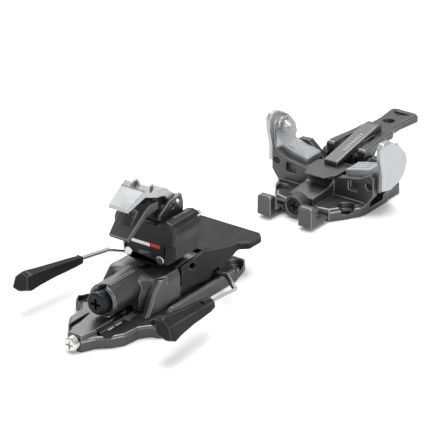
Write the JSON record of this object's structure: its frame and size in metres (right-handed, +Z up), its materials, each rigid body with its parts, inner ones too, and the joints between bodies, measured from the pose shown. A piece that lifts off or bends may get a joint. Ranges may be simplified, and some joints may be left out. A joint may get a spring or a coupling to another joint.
{
  "type": "ski touring pin binding",
  "caption": "Pin-type ski touring binding: sliding heel unit with turning turret, climbing flaps and ski brake, and a toe unit with two pivoting pin wings and a lever.",
  "frame": {"origin": "on the ski's surface, midway between the heel unit's two rear bolt holes", "axes": "+Z up from the ski, +Y towards the ski's tip, +X to the right"},
  "size_m": [0.1036, 0.3091, 0.073],
  "materials": {
    "anodised_dark": "dark grey anodised, machined",
    "anodised_black": "black anodised, machined",
    "aluminium_silver": "clear anodised, bright",
    "steel_bright": "hardened and polished steel",
    "steel_spring": "spring steel wire",
    "steel_black": "black oxide steel",
    "nylon_black": "moulded glass-filled nylon, fine grain",
    "bronze_bush": "sintered bronze",
    "window_clear": "smoked polycarbonate"
  },
  "bodies": {
    "root": {"heel_base_plate": "anodised_dark", "toe_base": "anodised_dark", "wing_pivot_pin_right": "steel_black", "wing_pivot_pin_left": "steel_black", "toe_spring_right": "steel_spring", "toe_spring_left": "steel_spring", "lever_pivot_pin": "steel_bright", "crampon_receiver": "anodised_dark", "crampon_receiver_screw": "steel_black"},
    "length_screw": {"length_screw": "steel_bright", "screw_retaining_ring": "steel_spring"},
    "carriage": {"heel_carriage": "anodised_dark", "turret_spindle": "steel_bright", "lateral_plunger": "bronze_bush", "lateral_spring": "steel_spring", "pedal_pivot_pin": "steel_bright", "brake_spring": "steel_spring"},
    "lateral_cap": {"lateral_spring_cap": "steel_black"},
    "brake_pedal": {"brake_pedal": "nylon_black"},
    "brake_arms": {"brake_wire_right": "steel_bright", "brake_wire_left": "steel_bright", "brake_shoe_right": "nylon_black", "brake_shoe_left": "nylon_black"},
    "turret": {"turret_housing": "anodised_black", "turret_front_plate": "anodised_black", "turret_bush": "bronze_bush", "vertical_release_spring": "steel_spring", "release_window": "window_clear", "jaw_stud_right": "steel_bright", "jaw_stud_left": "steel_bright", "flap_bracket": "anodised_dark", "flap_hinge_pin": "steel_bright"},
    "release_screw": {"vertical_release_screw": "steel_black"},
    "jaw_right": {"pin_jaw_right": "steel_bright", "heel_pin_right": "steel_bright"},
    "jaw_left": {"pin_jaw_left": "steel_bright", "heel_pin_left": "steel_bright"},
    "lower_flap": {"lower_flap": "anodised_dark", "flap_magnets": "steel_bright"},
    "upper_flap": {"upper_flap": "aluminium_silver"},
    "wing_right": {"toe_wing_right": "aluminium_silver", "toe_pin_right": "steel_bright"},
    "wing_left": {"toe_wing_left": "aluminium_silver", "toe_pin_left": "steel_bright"},
    "toe_lever": {"toe_lever": "anodised_dark", "lever_bar": "anodised_dark", "lever_rocker": "anodised_black"}
  },
  "joints": [
    {"name": "heel_length", "type": "slide", "parent": "root", "child": "carriage", "axis": [0, 1, 0], "range_m": [-0.012, 0.012]},
    {"name": "length_screw_turn", "type": "hinge", "parent": "root", "child": "length_screw", "pos_m": [0, -0.03, 0.0045], "axis": [0, 1, 0], "continuous": true},
    {"name": "lateral_adjust", "type": "hinge", "parent": "carriage", "child": "lateral_cap", "pos_m": [0, -0.02, 0.0184], "axis": [0, 1, 0], "continuous": true},
    {"name": "turret_turn", "type": "hinge", "parent": "carriage", "child": "turret", "pos_m": [0, 0.03, 0.03], "axis": [0, 0, 1], "range_deg": [-180, 180]},
    {"name": "vertical_adjust", "type": "hinge", "parent": "turret", "child": "release_screw", "pos_m": [-0.017, 0.0374, 0.039], "axis": [1, 0, 0], "continuous": true},
    {"name": "jaw_right_open", "type": "hinge", "parent": "turret", "child": "jaw_right", "pos_m": [0.01, 0.037, 0.03], "axis": [0, 1, 0], "range_deg": [0, 6], "stiffness_Nm_per_rad": 1},
    {"name": "jaw_left_open", "type": "hinge", "parent": "turret", "child": "jaw_left", "pos_m": [-0.01, 0.037, 0.03], "axis": [0, 1, 0], "range_deg": [-6, 0]},
    {"name": "lower_flap_turn", "type": "hinge", "parent": "turret", "child": "lower_flap", "pos_m": [0, 0.037, 0.0561], "axis": [1, 0, 0], "range_deg": [-170, 0]},
    {"name": "upper_flap_turn", "type": "hinge", "parent": "lower_flap", "child": "upper_flap", "pos_m": [0, 0.037, 0.0561], "axis": [-1, 0, 0], "range_deg": [0, 155]},
    {"name": "brake_pedal_turn", "type": "hinge", "parent": "carriage", "child": "brake_pedal", "pos_m": [0, 0.0378, 0.0213], "axis": [1, 0, 0], "range_deg": [0, 25]},
    {"name": "brake_arms_turn", "type": "hinge", "parent": "carriage", "child": "brake_arms", "pos_m": [0, 0.058, 0.0096], "axis": [1, 0, 0], "range_deg": [0, 50]},
    {"name": "lever_press", "type": "hinge", "parent": "root", "child": "toe_lever", "pos_m": [0, 0.208, 0.0166], "axis": [1, 0, 0], "range_deg": [-20, 0]},
    {"name": "wing_right_open", "type": "hinge", "parent": "root", "child": "wing_right", "pos_m": [0.0308, 0.191, 0.0173], "axis": [0, 1, 0], "range_deg": [0, 18]},
    {"name": "wing_left_open", "type": "hinge", "parent": "root", "child": "wing_left", "pos_m": [-0.0308, 0.191, 0.0173], "axis": [0, 1, 0], "range_deg": [-18, 0]}
  ],
  "couplings": [
    {"joint": "jaw_left_open", "follows": "jaw_right_open", "ratio": -1},
    {"joint": "brake_arms_turn", "follows": "brake_pedal_turn", "ratio": 2},
    {"joint": "wing_right_open", "follows": "lever_press", "ratio": -0.9},
    {"joint": "wing_left_open", "follows": "lever_press", "ratio": 0.9}
  ]
}
